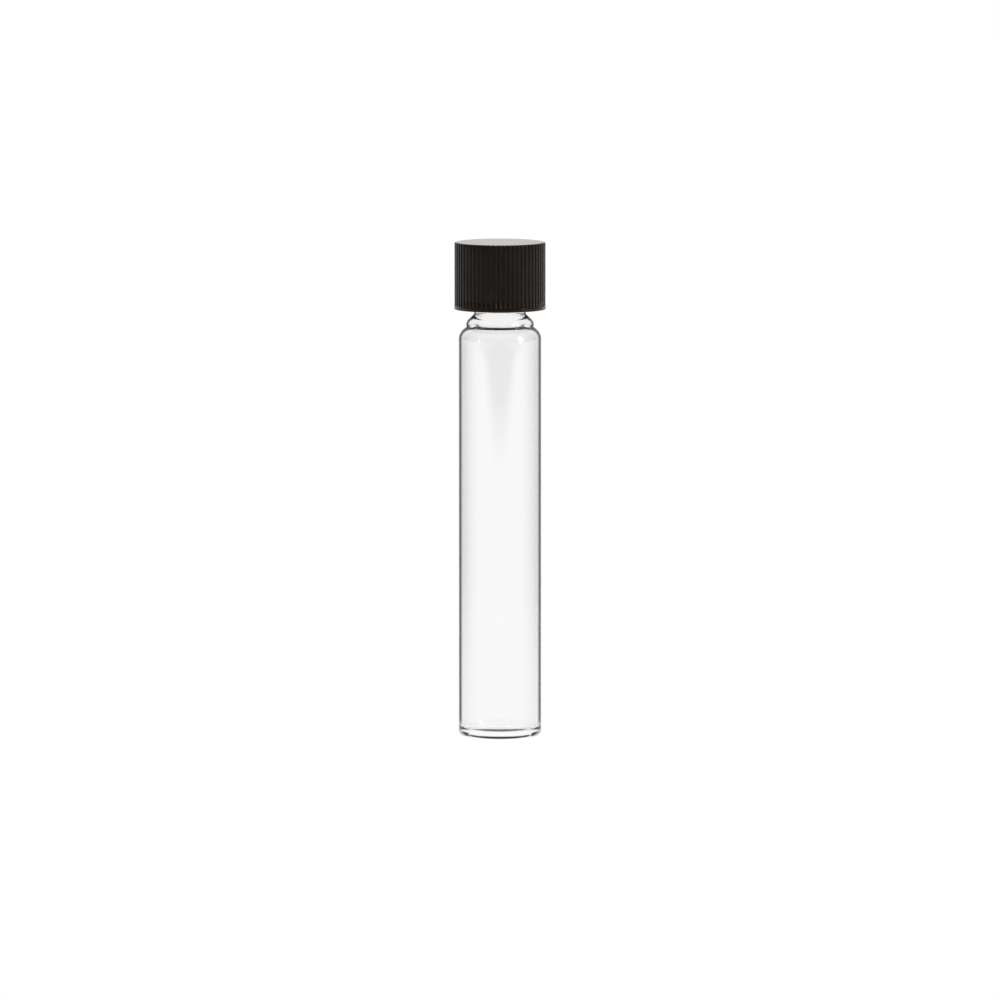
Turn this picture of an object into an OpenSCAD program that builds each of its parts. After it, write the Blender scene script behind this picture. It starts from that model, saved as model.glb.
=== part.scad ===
// Glass sample vial with a screw cap. Millimetres, +Z up.
// The origin is the centre of the base, on the plane that the vial stands on.

/* [Glass vial] */
// Outside diameter of the glass tube
tube_d = 15; // [14.8:0.1:15.2]
// Thickness of the tube wall
wall = 0.65; // [0.6:0.05:0.8]
// Height of the glass, from the base to the rim
glass_h = 87.7; // [60:0.1:110]
// Radius of the mouth and of the bore through the neck
bore_r = 4.1; // [3.7:0.1:4.1]
// Thickness of the glass in the middle of the floor
floor_t = 1.1; // [1:0.1:1.4]
// How far the middle of the base is pushed up
push_up = 0.4; // [0.3:0.1:0.6]
// Outside radius of the heel between base and tube
heel_r = 1.1; // [0.8:0.1:1.4]

/* [Shoulder and neck] */
// Outside radius of the curve at the shoulder
shoulder_r = 2.3; // [2.1:0.1:2.3]
// Depth from the rim to where the shoulder's curve starts
shoulder_drop = 15.3; // [15.3:0.1:15.5]
// Radius of the bead between shoulder and waist, from the axis
bead_r = 6.15; // [6.05:0.05:6.25]
// Depth from the rim to the middle of the bead
bead_drop = 12.7; // [12.5:0.1:12.7]
// Radius of the waist under the finish, from the axis
waist_r = 4.68; // [4.6:0.02:4.76]
// Angle between the axis and the normal of the slope from bead to waist
neck_slope = 50; // [46:1:54]

/* [Thread] */
// Threads along one inch of the axis
threads_per_inch = 12; // [11:1:13]
// Radius of the glass neck between its threads
glass_root_r = 5.75; // [5.7:0.01:5.78]
// Radius over the crests of the glass thread
glass_crest_r = 6.5; // [6.4:0.02:6.52]
// Turns of thread on the glass
glass_turns = 2; // [1.5:0.25:2]
// Radius over the crests of the cap's inner thread
cap_crest_r = 5.95; // [5.9:0.01:6]
// Turns of thread in the cap
cap_turns = 1.9; // [1.5:0.1:1.9]
// Gap between the flanks that bear on each other
flank_gap = 0.12; // [0.1:0.01:0.2]

/* [Cap] */
// Diameter over the plain band at the foot of the skirt
cap_d = 16.6; // [16.4:0.1:17]
// Height of the cap
cap_h = 12.2; // [12:0.1:12.4]
// Thickness of the top panel
panel_t = 1.2; // [1:0.1:1.3]
// Radius of the wall inside the skirt
skirt_bore_r = 6.65; // [6.62:0.01:6.7]
// Number of grip ribs
rib_count = 60; // [48:4:72]
// Height of a grip rib above the valley beside it
rib_h = 0.22; // [0.16:0.02:0.26]
// Height of the plain band under the ribs
band_h = 0.7; // [0.5:0.1:1]

/* [Liner] */
// Diameter of the liner disc
liner_d = 12.8; // [12.4:0.1:13]
// Thickness of the soft backing
backing_t = 0.97; // [0.9:0.01:1]
// Thickness of the smooth facing that lies on the rim
facing_t = 0.13; // [0.1:0.01:0.15]

/* [Hidden] */
$fn = 96;

// Points of one rounded corner, and steps in one turn of thread
arc_steps = 7;
turn_steps = 36;

tube_r = tube_d / 2;
inner_r = tube_r - wall;
pitch = 25.4 / threads_per_inch;

// Base: a flat standing ring between the pushed-up middle and the heel
ring_in_r = tube_r - heel_r - 1.3;
floor_z = push_up + floor_t;
inner_heel_r = heel_r + 0.3;
floor_edge_z = floor_z - 0.85;

// Shoulder and neck: every arc meets the next along a common tangent
shoulder_x = tube_r - shoulder_r;
shoulder_z = glass_h - shoulder_drop;
bead_round = 1.45;
bead_z = glass_h - bead_drop;
waist_round = 0.9;
slope_run = (bead_r - waist_r) - (bead_round + waist_round) * (1 - cos(neck_slope));
slope_rise = slope_run / tan(neck_slope);
waist_z = bead_z + (bead_round + waist_round) * sin(neck_slope) + slope_rise;
root_round = 0.8;
root_z = waist_z + (waist_round + root_round) * sin(neck_slope)
    + (glass_root_r - waist_r - (waist_round + root_round) * (1 - cos(neck_slope))) / tan(neck_slope);
rim_round = 0.5;

// Inside of the shoulder: it starts a little lower than the outside, then a throat leads to the bore
inner_shoulder_r = 2.3;
inner_shoulder_lag = 0.4;
inner_shoulder_z = shoulder_z - inner_shoulder_lag;
throat_round = 1.1;
throat_slope = 68;
throat_run = inner_r - bore_r - (inner_shoulder_r + throat_round) * (1 - cos(throat_slope));
throat_z = inner_shoulder_z + (inner_shoulder_r + throat_round) * sin(throat_slope)
    + throat_run / tan(throat_slope);

// Thread profiles: width at the root and at the crest
glass_thread_w = [1.25, 0.45];
cap_thread_w = [1, 0.35];
thread_bed = 0.15;
thread_fade = 0.1;
glass_thread_top = glass_h - 1.5;
glass_thread_z = glass_thread_top - glass_turns * pitch;

// Half width of the glass thread where the cap's crest passes it, for the gap between flanks
flank_t = (cap_crest_r - glass_root_r) / (glass_crest_r - glass_root_r);
glass_half_w = (glass_thread_w[0] * (1 - flank_t) + glass_thread_w[1] * flank_t) / 2;
thread_offset = glass_half_w + cap_thread_w[1] / 2 + flank_gap;
cap_thread_start = -0.4;

// Stack of cap, liner and rim
liner_t = backing_t + facing_t;
panel_z = glass_h + liner_t;
cap_top_z = panel_z + panel_t;
cap_foot_z = cap_top_z - cap_h;
rib_crest_r = cap_d / 2 - 0.05;
rib_valley_r = rib_crest_r - rib_h;
crown_h = 0.3;
crown_r = rib_crest_r + 0.02;
entry_bevel = 0.35;

glass_colour = [0.86, 0.92, 0.9, 0.45];
cap_colour = [0.07, 0.065, 0.065];
backing_colour = [0.93, 0.92, 0.89];
facing_colour = [0.97, 0.97, 0.97];

// Points on a circle of radius r about [x, z], from angle a0 to a1
function arc(x, z, r, a0, a1, steps = arc_steps) =
    [for (i = [0:steps]) let (a = a0 + (a1 - a0) * i / steps) [x + r * cos(a), z + r * sin(a)]];

// Points of a shallow dome from the axis at height z0 out to [x1, z1]
function dome(z0, x1, z1) =
    let (rise = z0 - z1, r = (x1 * x1 + rise * rise) / (2 * rise), sweep = asin(x1 / r))
    arc(0, z0 - r, r, 90, 90 - sweep);

// How much of a thread's height is left at fraction t of its length: it fades out at both ends
function fade(t) = min(1, min(t, 1 - t) / thread_fade);

// Four corners of a thread's section at step i, in the plane through the axis
function thread_ring(root, crest, widths, turns, bed, i, steps) =
    let (side = crest > root ? 1 : -1,
         a = 360 * turns * i / steps,
         z = pitch * a / 360,
         low = root - side * bed,
         sunk = root - side * bed / 2,
         high = sunk + (crest - sunk) * fade(i / steps),
         section = [[low, -widths[0]], [high, -widths[1]], [high, widths[1]], [low, widths[0]]])
    [for (p = section) [p[0] * cos(a), p[0] * sin(a), z + side * p[1] / 2]];

// A single-start right-hand thread ridge, outside or inside a round wall
module thread_ridge(root, crest, widths, turns) {
    steps = ceil(turns * turn_steps);
    rings = [for (i = [0:steps]) each thread_ring(root, crest, widths, turns, thread_bed, i, steps)];
    sides = [
        for (i = [0:steps - 1], j = [0:3])
            let (a = 4 * i + j, b = 4 * i + (j + 1) % 4)
            each [[a, b, b + 4], [a, b + 4, a + 4]]
    ];
    polyhedron(rings, concat([[3, 2, 1, 0]], sides, [[for (j = [0:3]) 4 * steps + j]]));
}

// Section of the glass, from the axis under the base, up the outside and down the inside
glass_outside = concat(
    dome(push_up, ring_in_r, 0),
    arc(tube_r - heel_r, heel_r, heel_r, -90, 0),
    arc(shoulder_x, shoulder_z, shoulder_r, 0, 66),
    arc(bead_r - bead_round, bead_z, bead_round, -12, neck_slope),
    arc(waist_r + waist_round, waist_z, waist_round, 180 + neck_slope, 180 - neck_slope),
    arc(glass_root_r - root_round, root_z, root_round, -neck_slope, 0),
    arc(glass_root_r - rim_round, glass_h - rim_round, rim_round, 0, 90)
);
floor_line = dome(floor_z, inner_r - inner_heel_r, floor_edge_z);
glass_inside = concat(
    arc(bore_r + rim_round, glass_h - rim_round, rim_round, 90, 180),
    arc(bore_r + throat_round, throat_z, throat_round, 180, 180 + throat_slope),
    arc(inner_r - inner_shoulder_r, inner_shoulder_z, inner_shoulder_r, throat_slope, 0),
    arc(inner_r - inner_heel_r, floor_edge_z + inner_heel_r, inner_heel_r, 0, -90),
    [for (i = [arc_steps - 1:-1:0]) floor_line[i]]
);

module glass_vial() {
    color(glass_colour) union() {
        rotate_extrude() polygon(concat(glass_outside, glass_inside));
        translate([0, 0, glass_thread_z])
            thread_ridge(glass_root_r, glass_crest_r, glass_thread_w, glass_turns);
    }
}

// Outline of the ribbed skirt: each rib is a flat-topped ridge between two valleys
rib_step = 360 / rib_count;
rib_outline = [
    for (i = [0:rib_count - 1], c = [[-0.30, 0], [-0.16, 1], [0.16, 1], [0.30, 0]])
        let (r = rib_valley_r + rib_h * c[1], a = (i + c[0]) * rib_step)
        [r * cos(a), r * sin(a)]
];

// Outside of the cap: a plain band at the foot, the ribs, and a bevelled crown just over them
module cap_block() {
    cylinder(h = band_h, r = cap_d / 2);
    translate([0, 0, band_h])
        linear_extrude(height = cap_h - band_h - crown_h) polygon(rib_outline);
    translate([0, 0, cap_h - crown_h])
        cylinder(h = crown_h, r1 = crown_r, r2 = crown_r - crown_h);
}

module screw_cap() {
    color(cap_colour) translate([0, 0, cap_foot_z]) union() {
        difference() {
            cap_block();
            translate([0, 0, -1])
                cylinder(h = panel_z - cap_foot_z + 1, r = skirt_bore_r);
            cylinder(h = entry_bevel, r1 = skirt_bore_r + entry_bevel, r2 = skirt_bore_r);
        }
        translate([0, 0, glass_thread_z - thread_offset + cap_thread_start * pitch - cap_foot_z])
            rotate([0, 0, 360 * cap_thread_start])
                thread_ridge(skirt_bore_r, cap_crest_r, cap_thread_w, cap_turns);
    }
}

module liner_backing() {
    color(backing_colour) translate([0, 0, glass_h + facing_t])
        cylinder(h = backing_t, r = liner_d / 2);
}

module liner_facing() {
    color(facing_colour) translate([0, 0, glass_h])
        cylinder(h = facing_t, r = liner_d / 2);
}

glass_vial();
screw_cap();
liner_backing();
liner_facing();
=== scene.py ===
import logging
import math
from collections.abc import Mapping, Sequence
from dataclasses import dataclass, field
from enum import Enum
from typing import Any

import bpy
import numpy as np
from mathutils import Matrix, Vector

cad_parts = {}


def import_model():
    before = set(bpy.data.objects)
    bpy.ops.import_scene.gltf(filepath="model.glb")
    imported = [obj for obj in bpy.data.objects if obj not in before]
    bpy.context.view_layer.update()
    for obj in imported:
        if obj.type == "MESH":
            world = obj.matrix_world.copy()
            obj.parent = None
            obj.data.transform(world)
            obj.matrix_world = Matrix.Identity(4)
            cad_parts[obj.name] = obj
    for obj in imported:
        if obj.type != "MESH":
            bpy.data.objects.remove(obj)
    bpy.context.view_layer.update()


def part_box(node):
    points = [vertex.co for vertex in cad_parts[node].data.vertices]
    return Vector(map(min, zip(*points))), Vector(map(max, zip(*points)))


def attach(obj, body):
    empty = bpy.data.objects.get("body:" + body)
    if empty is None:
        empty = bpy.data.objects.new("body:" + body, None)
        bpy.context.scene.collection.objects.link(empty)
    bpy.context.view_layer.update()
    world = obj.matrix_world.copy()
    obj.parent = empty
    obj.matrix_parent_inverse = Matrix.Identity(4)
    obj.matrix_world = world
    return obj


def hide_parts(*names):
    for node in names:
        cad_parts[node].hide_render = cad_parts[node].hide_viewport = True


log = logging.getLogger("sample_vial")

MM = 0.001

# Points of an outline are rows of (distance from the axis, height). A grid is rows by columns.
Points = np.ndarray
Grid = np.ndarray

# Points closer together than this, in millimetres, are one point.
TOUCHING = 1e-5


class Body(Enum):
    """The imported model's moving bodies."""

    VIAL = "vial"
    LINER = "liner"
    CAP = "cap"


class Slot(Enum):
    """The record's material slots."""

    GLASS = "clear_glass"
    PLASTIC = "black_plastic"
    FOAM = "liner_foam"
    FILM = "liner_film"


# Outlines ------------------------------------------------------------------------------------


def arc(x: float, z: float, radius: float, start: float, end: float, steps: int) -> Points:
    """Points of a circular arc: (x + r cos a, z + r sin a), with the angle a running from start to end.

    Args:
        x: the centre's distance from the axis, in millimetres.
        z: the centre's height.
        radius: the arc's radius.
        start: the first angle, in degrees.
        end: the last angle, in degrees.
        steps: how many chords the arc has.

    Returns:
        An array of steps + 1 points, each (distance from the axis, height).
    """
    a = np.radians(np.linspace(start, end, steps + 1))
    return np.column_stack([x + radius * np.cos(a), z + radius * np.sin(a)])


def straight(start: Sequence[float], end: Sequence[float], steps: int) -> Points:
    """Points of a straight line, evenly spaced from start to end.

    Args:
        start: the first point, (distance from the axis, height).
        end: the last point.
        steps: how many pieces the line has.

    Returns:
        An array of steps + 1 points.
    """
    t = np.linspace(0.0, 1.0, steps + 1)[:, None]
    return (1 - t) * np.asarray(start, float) + t * np.asarray(end, float)


def dome(middle: float, x: float, z: float, steps: int) -> Points:
    """Points of a shallow dome: the circle through (0, middle) and (x, z) whose centre is on the axis.

    Args:
        middle: the dome's height on the axis.
        x: the dome's edge, as a distance from the axis.
        z: the edge's height, lower than the middle.
        steps: how many chords the dome has.

    Returns:
        An array of steps + 1 points, from the axis outwards.
    """
    rise = middle - z
    radius = (x * x + rise * rise) / (2 * rise)
    sweep = math.degrees(math.asin(x / radius))
    return arc(0.0, middle - radius, radius, 90, 90 - sweep, steps)


def flat(rings: Sequence[float], z: float) -> Points:
    """Points at one height, at the given distances from the axis."""
    return np.column_stack([rings, np.full(len(rings), z)])


def join(*runs: Points) -> Points:
    """One outline from several, with each point that repeats the one before it left out.

    Args:
        runs: arrays of points, in order.

    Returns:
        One array of points.
    """
    points = np.vstack(runs)
    step = np.linalg.norm(np.diff(points, axis=0), axis=1)
    return points[np.concatenate([[True], step > TOUCHING])]


def smooth(x: Grid) -> Grid:
    """A smooth step: 3 x squared less 2 x cubed, with x held between 0 and 1."""
    t = np.clip(x, 0.0, 1.0)
    return t * t * (3 - 2 * t)


# Meshes --------------------------------------------------------------------------------------


def turned(name: str, radius: Grid, height: Grid) -> bpy.types.Object:
    """A closed surface about the vertical axis, from a grid of radii and heights.

    Row i and column j of the grid give the point (r cos a, r sin a, z), where a is j's share of a full
    turn. The first and last rows lie on the axis, and each becomes one vertex with a fan of triangles.
    An outline that starts under the piece and runs up its outside gives faces that point outwards.

    Args:
        name: the new object's name.
        radius: rows by columns, in millimetres.
        height: rows by columns, in millimetres.

    Returns:
        The new object, at the origin, in metres and shaded smooth.
    """
    rows, columns = radius.shape
    a = np.linspace(0.0, 2 * np.pi, columns, endpoint=False)
    inner = slice(1, rows - 1)
    shell = np.stack([radius[inner] * np.cos(a), radius[inner] * np.sin(a), height[inner]], axis=-1)
    poles = np.array([[0.0, 0.0, height[0].mean()], [0.0, 0.0, height[-1].mean()]])
    vertices = np.vstack([shell.reshape(-1, 3), poles]) * MM

    j = np.arange(columns)
    k = (j + 1) % columns
    i = np.arange(rows - 3)[:, None] * columns
    quads = np.stack([i + j, i + k, i + columns + k, i + columns + j], axis=-1).reshape(-1, 4)
    first, last = len(vertices) - 2, len(vertices) - 1
    top = (rows - 3) * columns
    fans = np.vstack([
        np.column_stack([np.full(columns, first), k, j]),
        np.column_stack([top + j, top + k, np.full(columns, last)]),
    ])

    mesh = bpy.data.meshes.new(name)
    mesh.from_pydata(vertices.tolist(), [], quads.tolist() + fans.tolist())
    mesh.polygons.foreach_set("use_smooth", np.ones(len(mesh.polygons), bool))
    mesh.update()
    piece = bpy.data.objects.new(name, mesh)
    bpy.context.scene.collection.objects.link(piece)
    return piece


def spread(outline: Points, columns: int) -> tuple[Grid, Grid]:
    """An outline repeated in every column of a grid.

    Args:
        outline: points, each (distance from the axis, height).
        columns: how many columns the grid has.

    Returns:
        The grids of radii and of heights, rows by columns.
    """
    ones = np.ones(columns)
    return outline[:, :1] * ones, outline[:, 1:] * ones


def paint(piece: bpy.types.Object, name: str, rows: Grid) -> None:
    """Stores a grid's values on the vertices, as a number that materials can read.

    Args:
        piece: a piece made by turned().
        name: the attribute's name.
        rows: one value for each point of the grid that the piece was made from, poles included.
    """
    values = np.concatenate([rows[1:-1].ravel(), [rows[0].mean(), rows[-1].mean()]])
    attribute = piece.data.attributes.new(name, "FLOAT", "POINT")
    attribute.data.foreach_set("value", values.astype(np.float32))


@dataclass(frozen=True)
class Thread:
    """A single-start right-hand thread on a round wall, in millimetres."""

    start: float
    turns: float
    pitch: float
    depth: float
    foot: float
    crest: float
    phase: float = 0.0
    fade: float = 0.2

    def relief(self, height: Grid, columns: int) -> Grid:
        """How far the ridge stands off the wall at each point of a grid.

        The ridge's middle rises by one pitch each turn. A point's distance d from the nearest middle
        gives the height: the full depth within half the crest's width, nothing past half the foot's
        width, and a smooth step between. The ridge fades in and out over its first and last stretch.

        Args:
            height: heights, rows by columns.
            columns: how many columns the grid has.

        Returns:
            The relief, rows by columns, never negative.
        """
        share = np.arange(columns) / columns
        lead = (height - self.start) / self.pitch - share + self.phase
        turn = np.round(lead)
        d = np.abs(lead - turn) * self.pitch
        along = turn + share - self.phase
        flank = (self.foot / 2 - d) / (self.foot / 2 - self.crest / 2)
        ends = smooth(along / self.fade) * smooth((self.turns - along) / self.fade)
        return self.depth * smooth(flank) * ends


# Finishes ------------------------------------------------------------------------------------


class Value:
    """A number that varies over a surface. Arithmetic on it adds Math nodes."""

    def __init__(self, nodes: "Nodes", socket: bpy.types.NodeSocket) -> None:
        """Wraps one socket of a node tree."""
        self.nodes = nodes
        self.socket = socket

    def math(self, operation: str, *terms: Any) -> "Value":
        """One Math node.

        Args:
            operation: the node's operation.
            terms: the node's inputs in order, as numbers or Values.

        Returns:
            The node's result.
        """
        made = self.nodes.node("ShaderNodeMath", {"operation": operation}, dict(enumerate(terms)))
        return Value(self.nodes, made.outputs[0])

    def __add__(self, other: Any) -> "Value":
        """This plus other."""
        return self.math("ADD", self, other)

    def __sub__(self, other: Any) -> "Value":
        """This less other."""
        return self.math("SUBTRACT", self, other)

    def __rsub__(self, other: Any) -> "Value":
        """Other less this."""
        return self.math("SUBTRACT", other, self)

    def __mul__(self, other: Any) -> "Value":
        """This times other."""
        return self.math("MULTIPLY", self, other)

    __radd__ = __add__
    __rmul__ = __mul__

    def at_least(self, other: Any) -> "Value":
        """The greater of this and other."""
        return self.math("MAXIMUM", self, other)

    def step(self, low: float, high: float) -> "Value":
        """A smooth step.

        Args:
            low: the value at which the step is 0.
            high: the value at which it is 1; lower than low for a falling step.

        Returns:
            A Value from 0 to 1.
        """
        made = self.nodes.node(
            "ShaderNodeMapRange",
            {"interpolation_type": "SMOOTHSTEP"},
            {"Value": self, "From Min": low, "From Max": high, "To Min": 0.0, "To Max": 1.0},
        )
        return Value(self.nodes, made.outputs["Result"])


class Nodes:
    """The node tree of a material or of the world, built up by calls."""

    def __init__(self, owner: bpy.types.Material | bpy.types.World) -> None:
        """Empties the owner's node tree."""
        self.owner = owner
        self.owner.use_nodes = True
        self.tree = self.owner.node_tree
        self.tree.nodes.clear()

    def node(
        self,
        kind: str,
        settings: Mapping[str, Any] | None = None,
        sockets: Mapping[Any, Any] | None = None,
    ) -> bpy.types.Node:
        """Adds one node: its settings first, then its sockets' values or links.

        Args:
            kind: the node's type.
            settings: the node's own properties.
            sockets: input name or number to a number, colour, Value, node (its first output) or socket.

        Returns:
            The new node.
        """
        made = self.tree.nodes.new(kind)
        for key, value in (settings or {}).items():
            setattr(made, key, value)
        for key, value in (sockets or {}).items():
            socket = made.inputs[key]
            if isinstance(value, Value):
                self.tree.links.new(value.socket, socket)
            elif isinstance(value, bpy.types.Node):
                self.tree.links.new(value.outputs[0], socket)
            elif isinstance(value, bpy.types.NodeSocket):
                self.tree.links.new(value, socket)
            else:
                socket.default_value = value
        return made

    def value(self, node: bpy.types.Node, output: Any = 0) -> Value:
        """One of a node's outputs as a Value."""
        return Value(self, node.outputs[output])

    def place(self) -> bpy.types.NodeSocket:
        """The point being shaded, in metres on the resting piece."""
        return self.node("ShaderNodeTexCoord").outputs["Object"]

    def stored(self, name: str) -> Value:
        """A number stored on the vertices by paint()."""
        found = self.node("ShaderNodeAttribute", {"attribute_name": name})
        return self.value(found, "Fac")

    def noise(self, size: float, detail: float = 2.0, stretch: Sequence[float] = (1, 1, 1)) -> Value:
        """Smooth noise from about 0 to 1.

        Args:
            size: the size of its patches, in millimetres.
            detail: how many finer layers it has.
            stretch: how many times closer together the patches are along each axis.

        Returns:
            The noise.
        """
        at = self.node("ShaderNodeMapping", {}, {"Vector": self.place(), "Scale": tuple(stretch)})
        made = self.node(
            "ShaderNodeTexNoise", {}, {"Vector": at, "Scale": 1 / (size * MM), "Detail": detail}
        )
        return self.value(made)

    def blend(self, factor: Value, one: Sequence[float], other: Sequence[float]) -> bpy.types.NodeSocket:
        """A colour between two.

        Args:
            factor: 0 for the first colour, 1 for the second.
            one: the first colour, red, green and blue.
            other: the second colour.

        Returns:
            The mixed colour's socket.
        """
        made = self.node("ShaderNodeMix", {"data_type": "RGBA"}, {0: factor, 6: (*one, 1), 7: (*other, 1)})
        return made.outputs[2]

    def bump(self, height: Value, depth: float) -> bpy.types.Node:
        """A Bump node.

        Args:
            height: the relief, from 0 to 1.
            depth: what a height of 1 stands for, in millimetres.

        Returns:
            The node, whose output is a normal.
        """
        return self.node("ShaderNodeBump", {}, {"Height": height, "Distance": depth * MM, "Strength": 1.0})

    def finish(self, shader: bpy.types.Node) -> bpy.types.Material | bpy.types.World:
        """Links a shader to the output and hands over the material or world."""
        kind = "Material" if isinstance(self.owner, bpy.types.Material) else "World"
        self.node(f"ShaderNodeOutput{kind}", {}, {"Surface": shader})
        return self.owner


def material(name: str) -> Nodes:
    """A new material's empty node tree."""
    return Nodes(bpy.data.materials.new(name))


@dataclass(frozen=True)
class ClearGlass:
    """Drawn clear glass: colourless, with painted shade along the outline: dark lines where the outside
    wall is seen almost edge on.

    Each pair gives a smooth step's 0 end and its 1 end: of facing, which is 0 on a wall seen square on and
    1 on one seen edge on, or of height in millimetres.
    """

    tint: tuple[float, float, float] = (0.965, 0.965, 0.965)
    # The next two colours are painted shade: a grey that leads up to the outline, and the dark line along
    # it.
    edge_shade: tuple[float, float, float] = (0.50, 0.50, 0.50)
    shadow: tuple[float, float, float] = (0.125, 0.118, 0.115)
    index: float = 1.5
    line_strength: float = 0.93
    line_in: tuple[float, float] = (0.56, 0.70)
    line_out: tuple[float, float] = (0.92, 0.78)
    line_foot: tuple[float, float] = (1.2, 3.3)
    edge_shade_in: tuple[float, float] = (0.08, 0.60)
    edge_shade_foot: tuple[float, float] = (5.0, 38.0)
    edge_shade_least: float = 0.45
    edge_shade_end: tuple[float, float] = (75.0, 71.0)
    ripple_width: float = 0.9
    ripple_depth: float = 0.0012
    ripple_stretch: tuple[float, float, float] = (1, 1, 0.03)

    def make(self) -> bpy.types.Material:
        """Builds the material: clear glass, mixed with a dark surface along the outline as painted shade.

        A narrow painted dark line peaks just inside the silhouette, and a faint painted grey shade leads up
        to it. Both fade towards the base, where light comes up through the heel, and the grey shade ends at
        the shoulder.
        """
        n = material("clear_glass")
        outside = n.stored("outside")
        facing = n.value(n.node("ShaderNodeLayerWeight", {}, {"Blend": 0.5}), "Facing")
        level = n.value(n.node("ShaderNodeSeparateXYZ", {}, {"Vector": n.place()}), "Z") * (1 / MM)
        # Painted shade: a dark line and a grey leading up to it, placed by how nearly edge on the wall is
        # seen.
        line = facing.step(*self.line_in) * facing.step(*self.line_out) * level.step(*self.line_foot)
        fullness = self.edge_shade_least + (1 - self.edge_shade_least) * level.step(*self.edge_shade_foot)
        edge_shade = facing.step(*self.edge_shade_in) * fullness * level.step(*self.edge_shade_end)
        ripple = n.bump(n.noise(self.ripple_width, 1.0, self.ripple_stretch), self.ripple_depth)
        clear = n.node("ShaderNodeBsdfPrincipled", {}, {
            "Base Color": n.blend(edge_shade * outside, self.tint, self.edge_shade),
            "Roughness": 0.0,
            "IOR": self.index,
            "Transmission Weight": 1.0,
            "Normal": ripple,
        })
        dark = n.node("ShaderNodeBsdfPrincipled", {}, {
            "Base Color": (*self.shadow, 1),
            "Roughness": 0.6,
            "Specular IOR Level": 0.1,
        })
        amount = self.line_strength * line * outside
        return n.finish(n.node("ShaderNodeMixShader", {}, {0: amount, 1: clear, 2: dark}))


@dataclass(frozen=True)
class BlackPlastic:
    """Moulded black plastic: satin ribs, a little dusty in the valleys, and a polished top.

    The sheen is the warm tint of what the plastic reflects. Roughness drops on the crests, which hands
    have worn, and on the polished top.
    """

    colour: tuple[float, float, float] = (0.0082, 0.0056, 0.0040)
    dusty: tuple[float, float, float] = (0.0140, 0.0105, 0.0080)
    sheen: tuple[float, float, float] = (1.0, 0.86, 0.76)
    roughness: float = 0.25
    cloud_size: float = 3.5
    cloud_rough: float = 0.12
    grain_size: float = 0.11
    grain_depth: float = 0.003
    grain_share: float = 0.7
    flow_size: float = 1.2
    flow_stretch: tuple[float, float, float] = (1, 1, 0.12)
    flow_rough: float = 0.04
    worn: float = 0.06
    dust_in: tuple[float, float] = (0.42, 0.68)
    top_gloss: float = 0.6
    top_flat: float = 0.85

    def make(self) -> bpy.types.Material:
        """Builds the material from clouds of dust, fine grain and upright flow marks."""
        n = material("black_plastic")
        crest = n.stored("crest")
        polish = n.stored("polish")
        cloud = n.noise(self.cloud_size, 3.0)
        grain = n.noise(self.grain_size)
        flow = n.noise(self.flow_size, stretch=self.flow_stretch)
        dust = (1 - crest) * cloud.step(*self.dust_in)
        rough = self.roughness + self.cloud_rough * cloud - self.worn * crest + self.flow_rough * flow
        relief = (grain * self.grain_share + flow * (1 - self.grain_share)) * (1 - self.top_flat * polish)
        shader = n.node("ShaderNodeBsdfPrincipled", {}, {
            "Base Color": n.blend(dust, self.colour, self.dusty),
            "Roughness": rough * (1 - self.top_gloss * polish),
            "IOR": 1.5,
            "Specular IOR Level": 0.30,
            "Specular Tint": (*self.sheen, 1),
            "Normal": n.bump(relief, self.grain_depth),
        })
        return n.finish(shader)


@dataclass(frozen=True)
class LinerFoam:
    """Closed-cell foam: off-white, matte and finely pitted."""

    colour: tuple[float, float, float] = (0.80, 0.785, 0.74)
    pitted: tuple[float, float, float] = (0.64, 0.62, 0.57)
    roughness: float = 0.72
    cell_size: float = 0.16
    cell_depth: float = 0.03
    pit_in: tuple[float, float] = (0.55, 0.15)
    pit_shade: float = 0.6
    pit_rough: float = 0.2

    def make(self) -> bpy.types.Material:
        """Builds the material: each cell is darker and rougher towards its middle; the darkening is painted
        shade in the pit.
        """
        n = material("liner_foam")
        pattern = {"Vector": n.place(), "Scale": 1 / (self.cell_size * MM)}
        cells = n.value(n.node("ShaderNodeTexVoronoi", {}, pattern), "Distance")
        pits = cells.step(*self.pit_in)
        shader = n.node("ShaderNodeBsdfPrincipled", {}, {
            # The darker pits are painted shade.
            "Base Color": n.blend(pits * self.pit_shade, self.colour, self.pitted),
            "Roughness": self.roughness + self.pit_rough * pits,
            "Normal": n.bump(cells, self.cell_depth),
        })
        return n.finish(shader)


@dataclass(frozen=True)
class LinerFilm:
    """Smooth white film with a faint ring where the rim has pressed it."""

    colour: tuple[float, float, float] = (0.86, 0.86, 0.845)
    pressed: tuple[float, float, float] = (0.74, 0.735, 0.71)
    roughness: float = 0.30
    cloud_size: float = 1.6
    cloud_rough: float = 0.18
    ring_gloss: float = 0.10
    ring_least: float = 0.5
    grain_size: float = 0.35
    grain_depth: float = 0.006

    def make(self) -> bpy.types.Material:
        """Builds the material: greyer and glossier along the pressed ring."""
        n = material("liner_film")
        ring = n.stored("pressed")
        cloud = n.noise(self.cloud_size)
        mark = ring * (self.ring_least + (1 - self.ring_least) * cloud)
        shader = n.node("ShaderNodeBsdfPrincipled", {}, {
            "Base Color": n.blend(mark, self.colour, self.pressed),
            "Roughness": self.roughness + self.cloud_rough * cloud - self.ring_gloss * ring,
            "IOR": 1.47,
            "Normal": n.bump(n.noise(self.grain_size), self.grain_depth),
        })
        return n.finish(shader)


# Pieces --------------------------------------------------------------------------------------


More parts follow.
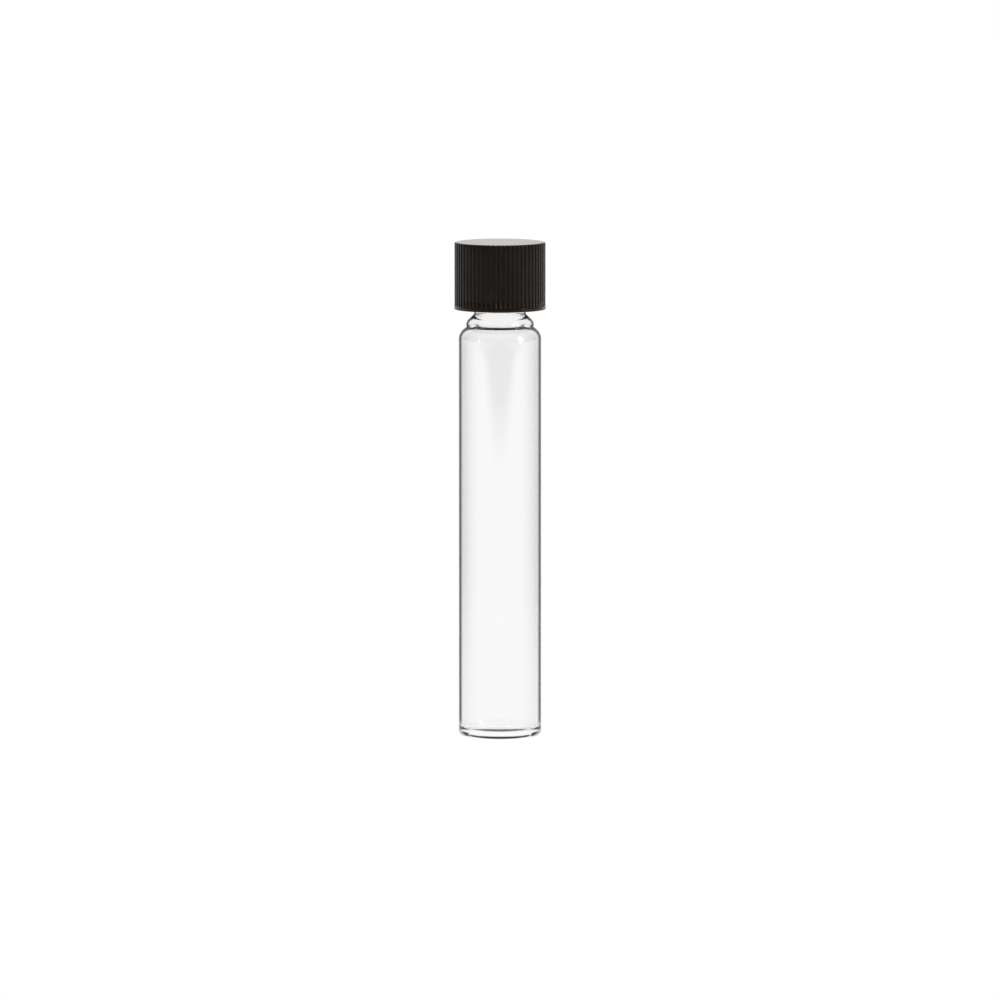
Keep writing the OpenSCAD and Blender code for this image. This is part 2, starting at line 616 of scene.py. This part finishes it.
@dataclass(frozen=True)
class ScrewFit:
    """How the glass thread and the cap's thread meet, in millimetres: radii, widths, turns and gaps."""

    pitch: float = 25.4 / 12
    top_gap: float = 1.5
    glass_root_r: float = 5.75
    glass_crest_r: float = 6.5
    glass_widths: tuple[float, float] = (1.25, 0.45)
    glass_turns: float = 2.0
    cap_root_r: float = 6.65
    cap_crest_r: float = 5.95
    cap_widths: tuple[float, float] = (1.0, 0.35)
    cap_turns: float = 1.9
    cap_start_turn: float = -0.4
    flank_gap: float = 0.12

    def glass_start(self, rim: float) -> float:
        """The height of the glass thread's first point, for a rim at the given height."""
        return rim - self.top_gap - self.glass_turns * self.pitch

    def on_glass(self, rim: float) -> Thread:
        """The thread outside the glass, for a rim at the given height."""
        depth = self.glass_crest_r - self.glass_root_r
        return Thread(self.glass_start(rim), self.glass_turns, self.pitch, depth, *self.glass_widths)

    def in_cap(self, rim: float) -> Thread:
        """The thread inside the cap, with its flank just under the glass thread's.

        The two middles are apart by half the glass thread's width where the cap's crest passes it, half
        the width of the cap's crest, and the gap between the flanks.

        Args:
            rim: the height of the rim with the cap closed.

        Returns:
            The cap's thread.
        """
        foot, crest = self.glass_widths
        share = (self.cap_crest_r - self.glass_root_r) / (self.glass_crest_r - self.glass_root_r)
        glass_half = (foot * (1 - share) + crest * share) / 2
        below = glass_half + self.cap_widths[1] / 2 + self.flank_gap
        start = self.glass_start(rim) - below + self.cap_start_turn * self.pitch
        depth = self.cap_root_r - self.cap_crest_r
        return Thread(start, self.cap_turns, self.pitch, depth, *self.cap_widths, phase=self.cap_start_turn)


@dataclass
class GlassVial:
    """The drawn glass: base, tube, shoulder, bead, waist and threaded finish, as one closed wall.

    Sizes are in millimetres and angles in degrees. The first underside_rows rows of the grid are the base
    and the start of the heel, and the threaded wall begins neck_above over the start of the shoulder.
    """

    tube_r: float
    height: float
    wall: float = 0.65
    bore_r: float = 4.1
    push_up: float = 0.4
    floor_t: float = 1.1
    floor_dome: float = 0.85
    heel_r: float = 1.1
    heel_step: float = 0.3
    stand_w: float = 1.3
    shoulder_r: float = 2.3
    shoulder_end: float = 66.0
    shoulder_drop: float = 15.3
    bead_r: float = 6.15
    bead_drop: float = 12.7
    bead_round: float = 1.45
    bead_start: float = -12.0
    waist_r: float = 4.68
    waist_round: float = 0.9
    neck_slope: float = 50.0
    root_round: float = 0.8
    rim_round: float = 0.5
    throat_round: float = 1.1
    throat_slope: float = 68.0
    inner_shoulder_r: float = 2.3
    inner_shoulder_lag: float = 0.4
    underside_rows: int = 15
    neck_above: float = 6.5
    columns: int = 192
    screw: ScrewFit = field(default_factory=ScrewFit)
    finish: ClearGlass = field(default_factory=ClearGlass)

    def outside(self) -> Points:
        """The outline from under the middle of the base, up the outside, to the top of the rim.

        Arcs of the bead, the waist and the root of the thread meet along common tangents: the drop between
        two centres is the sum of their radii times the slope's sine, plus the straight stretch between.
        """
        slope = math.radians(self.neck_slope)
        sine, cosine, tangent = math.sin(slope), math.cos(slope), math.tan(slope)
        shoulder_z = self.height - self.shoulder_drop
        bead_z = self.height - self.bead_drop
        waist_run = (self.bead_r - self.waist_r) - (self.bead_round + self.waist_round) * (1 - cosine)
        waist_z = bead_z + (self.bead_round + self.waist_round) * sine + waist_run / tangent
        root_r = self.screw.glass_root_r
        root_run = (root_r - self.waist_r) - (self.waist_round + self.root_round) * (1 - cosine)
        root_z = waist_z + (self.waist_round + self.root_round) * sine + root_run / tangent
        rim_z = self.height - self.rim_round
        turn = self.neck_slope
        return join(
            dome(self.push_up, self.tube_r - self.heel_r - self.stand_w, 0.0, 10),
            arc(self.tube_r - self.heel_r, self.heel_r, self.heel_r, -90, 0, 12),
            straight((self.tube_r, self.heel_r), (self.tube_r, shoulder_z), 24),
            arc(self.tube_r - self.shoulder_r, shoulder_z, self.shoulder_r, 0, self.shoulder_end, 18),
            arc(self.bead_r - self.bead_round, bead_z, self.bead_round, self.bead_start, turn, 14),
            arc(self.waist_r + self.waist_round, waist_z, self.waist_round, 180 + turn, 180 - turn, 16),
            arc(root_r - self.root_round, root_z, self.root_round, -turn, 0, 8),
            straight((root_r, root_z), (root_r, rim_z), 84),
            arc(root_r - self.rim_round, rim_z, self.rim_round, 0, 90, 8),
        )

    def inside(self) -> Points:
        """The outline from the rim's inner edge, down the bore and the wall, to the middle of the floor."""
        inner_r = self.tube_r - self.wall
        heel = self.heel_r + self.heel_step
        turn, turn_r = self.throat_slope, self.inner_shoulder_r
        turn_z = self.height - self.shoulder_drop - self.inner_shoulder_lag
        slope = math.radians(self.throat_slope)
        run = inner_r - self.bore_r - (turn_r + self.throat_round) * (1 - math.cos(slope))
        throat_z = turn_z + (turn_r + self.throat_round) * math.sin(slope) + run / math.tan(slope)
        rim_z = self.height - self.rim_round
        floor_z = self.push_up + self.floor_t
        edge_z = floor_z - self.floor_dome
        return join(
            arc(self.bore_r + self.rim_round, rim_z, self.rim_round, 90, 180, 8),
            straight((self.bore_r, rim_z), (self.bore_r, throat_z), 12),
            arc(self.bore_r + self.throat_round, throat_z, self.throat_round, 180, 180 + turn, 16),
            arc(inner_r - turn_r, turn_z, turn_r, turn, 0, 12),
            straight((inner_r, turn_z), (inner_r, edge_z + heel), 24),
            arc(inner_r - heel, edge_z + heel, heel, 0, -90, 12),
            dome(floor_z, inner_r - heel, edge_z, 10)[::-1],
        )

    def build(self) -> bpy.types.Object:
        """Builds the wall, raises the thread on it and dresses it in glass.

        The attribute "outside" is 1 on the outer wall above the start of the heel, and 0 elsewhere.
        """
        outside, inside = self.outside(), self.inside()
        radius, height = spread(join(outside, inside), self.columns)
        rows = np.arange(len(radius))
        is_outside = rows < len(outside)
        on_neck = is_outside & (height[:, 0] > self.height - self.shoulder_drop + self.neck_above)
        drawn = is_outside & (rows >= self.underside_rows)
        relief = self.screw.on_glass(self.height).relief(height, self.columns)
        radius = radius + np.where(on_neck[:, None], relief, 0.0)
        piece = turned("glass_vial_wall", radius, height)
        paint(piece, "outside", np.broadcast_to(drawn[:, None].astype(float), radius.shape))
        piece.data.materials.append(self.finish.make())
        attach(piece, Body.VIAL.value)
        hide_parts("glass_vial")
        return piece


@dataclass
class ScrewCap:
    """The moulded cap: a ribbed skirt over a plain band, a flat panel, and one thread inside.

    Sizes are in millimetres. A rib's rib_half and rib_flank are shares of the step from rib to rib: half
    its width at the valley floor, and the width of each flank.
    """

    foot: float
    height: float
    panel: float
    band_r: float
    rim: float
    band_h: float = 0.7
    rib_count: int = 60
    rib_inset: float = 0.05
    rib_h: float = 0.22
    rib_gap: float = 0.05
    rib_half: float = 0.38
    rib_flank: float = 0.22
    crown_round: float = 0.3
    bevel: float = 0.35
    edge_round: float = 0.12
    corner_round: float = 0.25
    panel_rings: tuple[float, ...] = (0.0, 3.0, 5.8)
    top_rings: tuple[float, ...] = (7.4, 5.0, 0.0)
    polish_drop: float = 0.02
    steps_per_rib: int = 10
    screw: ScrewFit = field(default_factory=ScrewFit)
    finish: BlackPlastic = field(default_factory=BlackPlastic)

    def outline(self) -> Points:
        """The outline from the middle of the panel's underside, down the bore, and up the outside."""
        foot, top, bore = self.foot, self.foot + self.height, self.screw.cap_root_r
        r, edge, corner = self.band_r, self.edge_round, self.corner_round
        band_top, crown_z = foot + self.band_h, top - self.crown_round
        rib_r = r - self.rib_inset
        return join(
            flat(self.panel_rings, self.panel),
            arc(bore - corner, self.panel - corner, corner, 90, 0, 4),
            straight((bore, self.panel - corner), (bore, foot + self.bevel), 84),
            straight((bore, foot + self.bevel), (bore + self.bevel, foot), 3),
            straight((bore + self.bevel, foot), (r - edge, foot), 3),
            arc(r - edge, foot + edge, edge, -90, 0, 4),
            straight((r, foot + edge), (r, band_top - edge), 3),
            arc(r - edge, band_top - edge, edge, 0, 60, 4),
            straight((rib_r, band_top + self.rib_gap), (rib_r, crown_z), 10),
            arc(rib_r - self.crown_round, crown_z, self.crown_round, 0, 90, 6),
            flat(self.top_rings, top),
        )

    def build(self) -> bpy.types.Object:
        """Builds the shell, cuts the valleys between its ribs, raises its thread and dresses it in plastic.

        Each rib is a smooth step of how far the point is from the rib's middle, in shares of the step from
        rib to rib. Where the crown curves in below a rib, the crown's outline wins. The attribute "crest"
        is 1 on the crests and plain outside, 0 in the valleys and half inside; "polish" is 1 on the top.
        """
        columns = self.rib_count * self.steps_per_rib
        outline = self.outline()
        radius, height = spread(outline, columns)
        along = np.arange(columns) / self.steps_per_rib
        off_middle = np.abs(along - np.round(along))
        rib = smooth((self.rib_half - off_middle) / self.rib_flank)
        r, z = outline.T
        rows = np.arange(len(outline))
        bore_end = int(np.argmax(z < self.foot + self.bevel + TOUCHING))
        outer = rows > bore_end
        ribbed = outer & (z > self.foot + self.band_h)
        skirt = self.band_r - self.rib_inset - self.rib_h * (1 - rib)
        radius = np.where(ribbed[:, None], np.minimum(radius, skirt), radius)
        bore = (rows <= bore_end) & (np.abs(r - self.screw.cap_root_r) < TOUCHING)
        relief = self.screw.in_cap(self.rim).relief(height, columns)
        radius = radius - np.where(bore[:, None], relief, 0.0)
        piece = turned("screw_cap_shell", radius, height)
        paint(piece, "crest", np.where(ribbed[:, None], rib, 1.0) * np.where(outer, 1.0, 0.5)[:, None])
        on_top = outer & (z > self.foot + self.height - self.polish_drop)
        paint(piece, "polish", np.broadcast_to(on_top[:, None].astype(float), radius.shape))
        piece.data.materials.append(self.finish.make())
        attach(piece, Body.CAP.value)
        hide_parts("screw_cap")
        return piece


@dataclass
class Liner:
    """The two plies of the liner: a foam backing, and a film facing that the rim has marked.

    Sizes are in millimetres. The rings of vertices under a ply stop rings_end short of its edge. mark_fade
    is a share of the mark's half width, and top_ring a share of the radius.
    """

    radius: float
    bottom: float
    seam: float
    top: float
    mark_from: float = 4.1
    mark_to: float = 5.65
    mark_depth: float = 0.05
    mark_fade: float = 0.4
    foam_edge: float = 0.1
    film_edge: float = 0.03
    rings: int = 60
    rings_end: float = 0.3
    top_ring: float = 0.6
    columns: int = 160
    foam: LinerFoam = field(default_factory=LinerFoam)
    film: LinerFilm = field(default_factory=LinerFilm)

    def disc(self, name: str, bottom: float, top: float, edge: float, rings: Grid) -> bpy.types.Object:
        """A flat disc with a rounded edge, its underside pressed in along the rim's ring.

        The ring's depth is a smooth step of the distance from the ring's middle, held flat in between. The
        attribute "pressed" is 1 along it.

        Args:
            name: the new object's name.
            bottom: the underside's height.
            top: the top's height.
            edge: the radius of the rounding at the disc's edge.
            rings: the distances from the axis at which the underside has rings of vertices.

        Returns:
            The new disc.
        """
        middle = (self.mark_from + self.mark_to) / 2
        half = (self.mark_to - self.mark_from) / 2
        mark = smooth((half - np.abs(rings - middle)) / (self.mark_fade * half))
        under = np.column_stack([rings, bottom + self.mark_depth * mark])
        r = self.radius
        outline = join(
            under,
            arc(r - edge, bottom + edge, edge, -90, 0, 4),
            arc(r - edge, top - edge, edge, 0, 90, 4),
            flat((r * self.top_ring, 0.0), top),
        )
        radius, height = spread(outline, self.columns)
        piece = turned(name, radius, height)
        pressed = np.zeros(len(outline))
        pressed[: len(rings)] = mark
        paint(piece, "pressed", np.broadcast_to(pressed[:, None], radius.shape))
        return piece

    def build(self) -> list[bpy.types.Object]:
        """Builds both plies and dresses them."""
        rings = np.linspace(0.0, self.radius - self.rings_end, self.rings)
        backing = self.disc("liner_foam_disc", self.seam, self.top, self.foam_edge, rings)
        facing = self.disc("liner_film_disc", self.bottom, self.seam, self.film_edge, rings)
        for piece, finish, node, slot in (
            (backing, self.foam, "liner_backing", Slot.FOAM),
            (facing, self.film, "liner_facing", Slot.FILM),
        ):
            piece.data.materials.append(finish.make())
            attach(piece, Body.LINER.value)
            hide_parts(node)
        return [backing, facing]


# Studio --------------------------------------------------------------------------------------


@dataclass(frozen=True)
class Lamp:
    """A soft rectangular light: its name, place, width and height in metres, and power in watts."""

    name: str
    at: tuple[float, float, float]
    size: tuple[float, float]
    watts: float


@dataclass
class Studio:
    """White table, white surroundings, soft lights and a long lens.

    Sizes are in metres. Each pair gives a smooth step's 0 end and its 1 end: back_in of a direction's part
    along +Y, and above_in and through_in of its part along +Z.
    """

    aim: tuple[float, float, float] = (0.0, 0.0, 0.043)
    elevation: float = 5.65
    distance: float = 2.4
    frame_width: float = 0.1816
    lit_from: float = 0.47
    lit_to: float = 0.72
    table_reach: float = 20.0
    table_drop: float = 0.00008
    table_glow: float = 1.01
    table_dark: float = 0.04
    room_glow: float = 1.05
    room_dark: float = 0.06
    room_white: float = 0.9
    room_above: float = 0.5
    back_in: tuple[float, float] = (0.4, 0.8)
    above_in: tuple[float, float] = (0.3, 0.8)
    through_in: tuple[float, float] = (0.25, 0.1)
    lamps: tuple[Lamp, ...] = (
        Lamp("overhead", (0.0, 0.37, 1.0), (0.42, 0.28), 6.0),
        Lamp("side_right", (1.0, -0.45, 0.45), (0.16, 0.7), 3.0),
    )

    def camera(self) -> bpy.types.Object:
        """The camera: level, looking along +Y and a little down."""
        data = bpy.data.cameras.new("camera")
        data.sensor_width = 36.0
        data.lens = data.sensor_width * self.distance / self.frame_width
        data.clip_end = 100.0
        camera = bpy.data.objects.new("camera", data)
        bpy.context.scene.collection.objects.link(camera)
        tilt = math.radians(self.elevation)
        away = Vector((0, -math.cos(tilt), math.sin(tilt)))
        camera.location = Vector(self.aim) + self.distance * away
        camera.rotation_euler = (math.radians(90 - self.elevation), 0, 0)
        bpy.context.scene.camera = camera
        return camera

    def table(self) -> bpy.types.Object:
        """A wide white table top that glows evenly to the camera.

        For reflections and for what is seen through the glass, it is lit up to lit_from ahead of the vial,
        and fades to dark at lit_to.
        """
        reach, drop = self.table_reach, self.table_drop
        corners = [(x * reach, y * reach, -drop) for x, y in ((-1, -1), (1, -1), (1, 1), (-1, 1))]
        mesh = bpy.data.meshes.new("table")
        mesh.from_pydata(corners, [], [(0, 1, 2, 3)])
        table = bpy.data.objects.new("table", mesh)
        bpy.context.scene.collection.objects.link(table)
        n = material("white_table")
        depth = n.value(n.node("ShaderNodeSeparateXYZ", {}, {"Vector": n.place()}), "Y")
        seen = n.value(n.node("ShaderNodeLightPath"), "Is Camera Ray")
        lit = depth.step(-self.lit_to, -self.lit_from)
        unseen = self.table_dark + (1 - self.table_dark) * lit
        level = self.table_glow * (seen + (1 - seen) * unseen)
        shader = n.node("ShaderNodeEmission", {}, {"Color": level, "Strength": 1.0})
        mesh.materials.append(n.finish(shader))
        return table

    def surroundings(self) -> None:
        """The room: white to the camera, and otherwise white behind, bright above and dark elsewhere.

        What is seen straight through the glass near the horizon is white on every side.
        """
        world = bpy.data.worlds.new("studio")
        bpy.context.scene.world = world
        n = Nodes(world)
        way = n.node("ShaderNodeTexCoord").outputs["Generated"]
        toward = {"operation": "DOT_PRODUCT"}
        back = n.value(n.node("ShaderNodeVectorMath", toward, {0: way, 1: (0, 1, 0)}), "Value")
        up = n.value(n.node("ShaderNodeVectorMath", toward, {0: way, 1: (0, 0, 1)}), "Value")
        path = n.node("ShaderNodeLightPath")
        seen = n.value(path, "Is Camera Ray")
        through = n.value(path, "Is Transmission Ray") * up.step(*self.through_in)
        white = through.at_least(back.step(*self.back_in))
        room = self.room_dark + self.room_white * white + self.room_above * up.step(*self.above_in)
        level = seen * self.room_glow + (1 - seen) * room
        n.finish(n.node("ShaderNodeBackground", {}, {"Color": level, "Strength": 1.0}))

    def light(self, lamp: Lamp) -> None:
        """Sets up one lamp, facing the middle of the vial."""
        data = bpy.data.lights.new(lamp.name, "AREA")
        data.shape = "RECTANGLE"
        data.size, data.size_y = lamp.size
        data.energy = lamp.watts
        made = bpy.data.objects.new(lamp.name, data)
        bpy.context.scene.collection.objects.link(made)
        made.location = lamp.at
        made.rotation_euler = (Vector(self.aim) - Vector(lamp.at)).to_track_quat("-Z", "Y").to_euler()

    def build(self) -> None:
        """Sets up camera, table, room and lights."""
        self.camera()
        self.table()
        self.surroundings()
        for lamp in self.lamps:
            self.light(lamp)
        bpy.context.scene.view_settings.view_transform = "Standard"
        bpy.context.scene.view_settings.look = "None"


def main() -> None:
    """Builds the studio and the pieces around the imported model, and reports each piece."""
    logging.basicConfig(level=logging.INFO, format="%(name)s: %(message)s")
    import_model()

    _, glass_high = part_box("glass_vial")
    cap_low, cap_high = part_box("screw_cap")
    film_low, film_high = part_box("liner_facing")
    foam_low, foam_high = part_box("liner_backing")

    Studio().build()
    vial = GlassVial(tube_r=glass_high.x / MM, height=glass_high.z / MM)
    cap = ScrewCap(
        foot=cap_low.z / MM,
        height=(cap_high.z - cap_low.z) / MM,
        panel=foam_high.z / MM,
        band_r=cap_high.x / MM,
        rim=vial.height,
    )
    liner = Liner(
        radius=film_high.x / MM,
        bottom=film_low.z / MM,
        seam=foam_low.z / MM,
        top=foam_high.z / MM,
    )
    for piece in (vial.build(), cap.build(), *liner.build()):
        mesh = piece.data
        log.info("%s: %d vertices, %d faces", piece.name, len(mesh.vertices), len(mesh.polygons))


if __name__ == "__main__":
    main()
